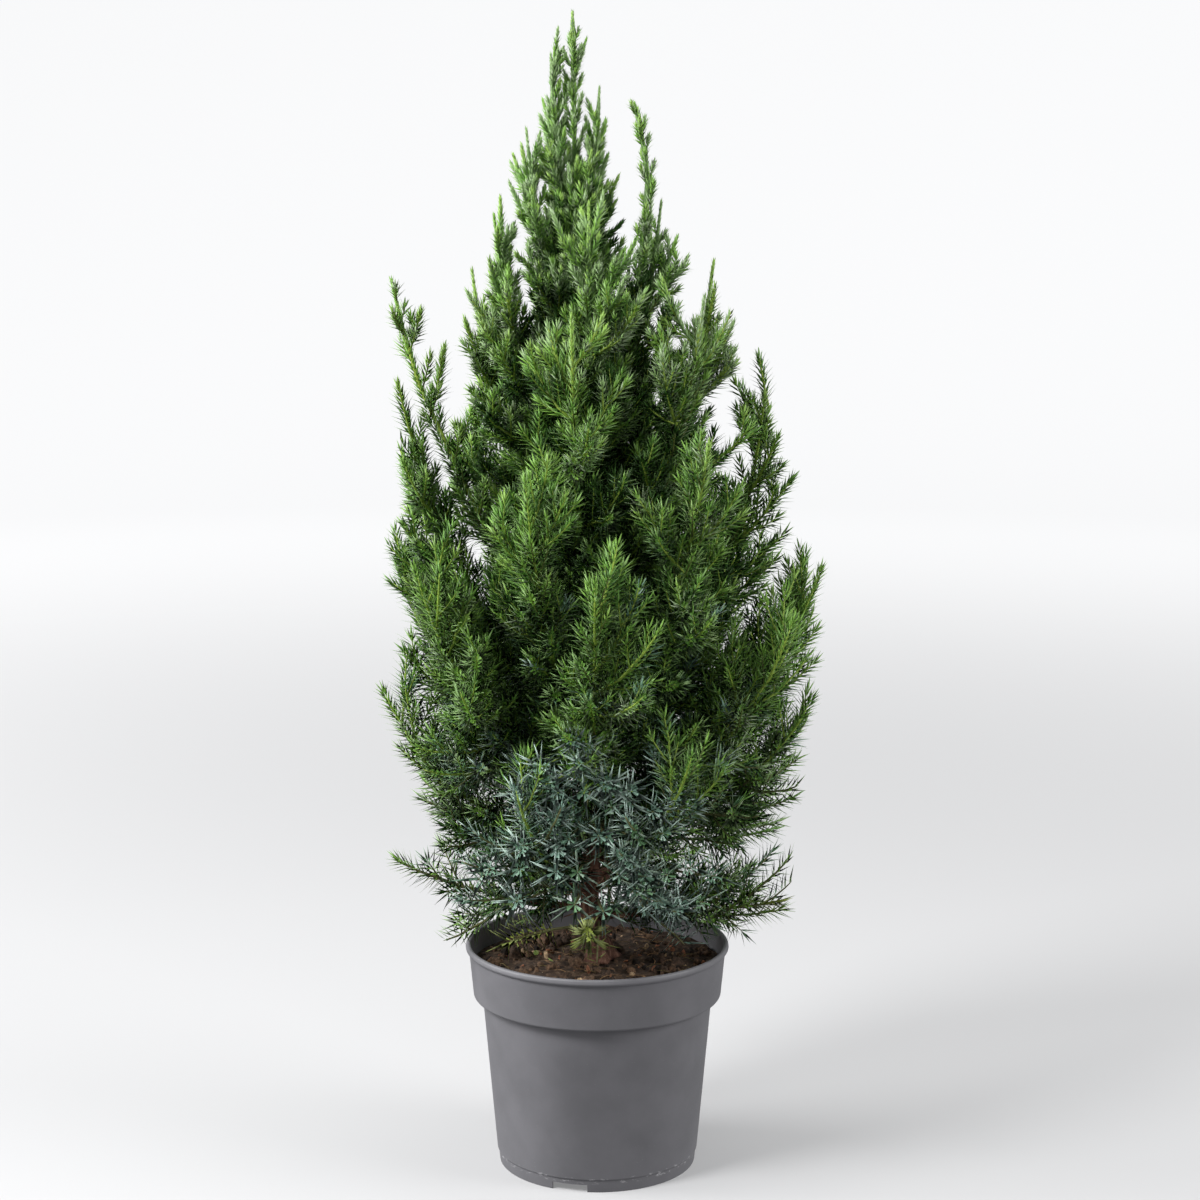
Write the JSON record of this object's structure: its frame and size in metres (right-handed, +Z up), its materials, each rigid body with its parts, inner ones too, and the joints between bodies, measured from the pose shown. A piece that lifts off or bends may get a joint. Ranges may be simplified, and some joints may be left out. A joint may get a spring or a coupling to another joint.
{
  "type": "potted chinese juniper",
  "caption": "Young conical Chinese juniper with steep plumes of needles, in a round tapered nursery pot that stands on its skirt.",
  "frame": {"origin": "centre of the pot's underside, on the plane that the pot stands on", "axes": "+Z up along the pot's axis, -Y the front that faced the camera, +X to the camera's right"},
  "size_m": [0.277, 0.2449, 0.735],
  "materials": {
    "pot_plastic": "matte dark grey moulded plastic, faintly mottled and scuffed along its foot",
    "soil": "damp dark brown peat and bark compost, lumpy",
    "bark": "rough reddish brown bark that peels in strips, lighter on young twigs",
    "green_needles": "satin mid-green needles with light green shoot tips",
    "blue_green_needles": "satin blue-green needles with a pale band on their upper face"
  },
  "bodies": {
    "root": {"pot": "pot_plastic", "soil": "soil", "trunk": "bark", "foliage_leader": "green_needles", "foliage_crest_1": "green_needles", "foliage_crest_2": "green_needles", "foliage_top_1": "green_needles", "foliage_top_2": "green_needles", "foliage_top_3": "green_needles", "foliage_shoulder_1": "green_needles", "foliage_shoulder_2": "green_needles", "foliage_shoulder_3": "green_needles", "foliage_shoulder_4": "green_needles", "foliage_upper_1": "green_needles", "foliage_upper_2": "green_needles", "foliage_upper_3": "green_needles", "foliage_upper_4": "green_needles", "foliage_upper_5": "green_needles", "foliage_upper_6": "green_needles", "foliage_middle_1": "green_needles", "foliage_middle_2": "green_needles", "foliage_middle_3": "green_needles", "foliage_middle_4": "green_needles", "foliage_middle_5": "green_needles", "foliage_middle_6": "green_needles", "foliage_waist_1": "green_needles", "bough_waist_1": "bark", "foliage_waist_2": "green_needles", "bough_waist_2": "bark", "foliage_waist_3": "green_needles", "bough_waist_3": "bark", "foliage_waist_4": "green_needles", "bough_waist_4": "bark", "foliage_waist_5": "green_needles", "bough_waist_5": "bark", "foliage_waist_6": "green_needles", "bough_waist_6": "bark", "foliage_waist_7": "green_needles", "bough_waist_7": "bark", "foliage_lower_1": "blue_green_needles", "bough_lower_1": "bark", "foliage_lower_2": "blue_green_needles", "bough_lower_2": "bark", "foliage_lower_3": "blue_green_needles", "bough_lower_3": "bark", "foliage_lower_4": "blue_green_needles", "bough_lower_4": "bark", "foliage_lower_5": "blue_green_needles", "bough_lower_5": "bark", "foliage_lower_6": "blue_green_needles", "bough_lower_6": "bark", "foliage_skirt_1": "blue_green_needles", "bough_skirt_1": "bark", "foliage_skirt_2": "blue_green_needles", "bough_skirt_2": "bark", "foliage_skirt_3": "blue_green_needles", "bough_skirt_3": "bark", "foliage_skirt_4": "blue_green_needles", "bough_skirt_4": "bark"}
  },
  "joints": []
}
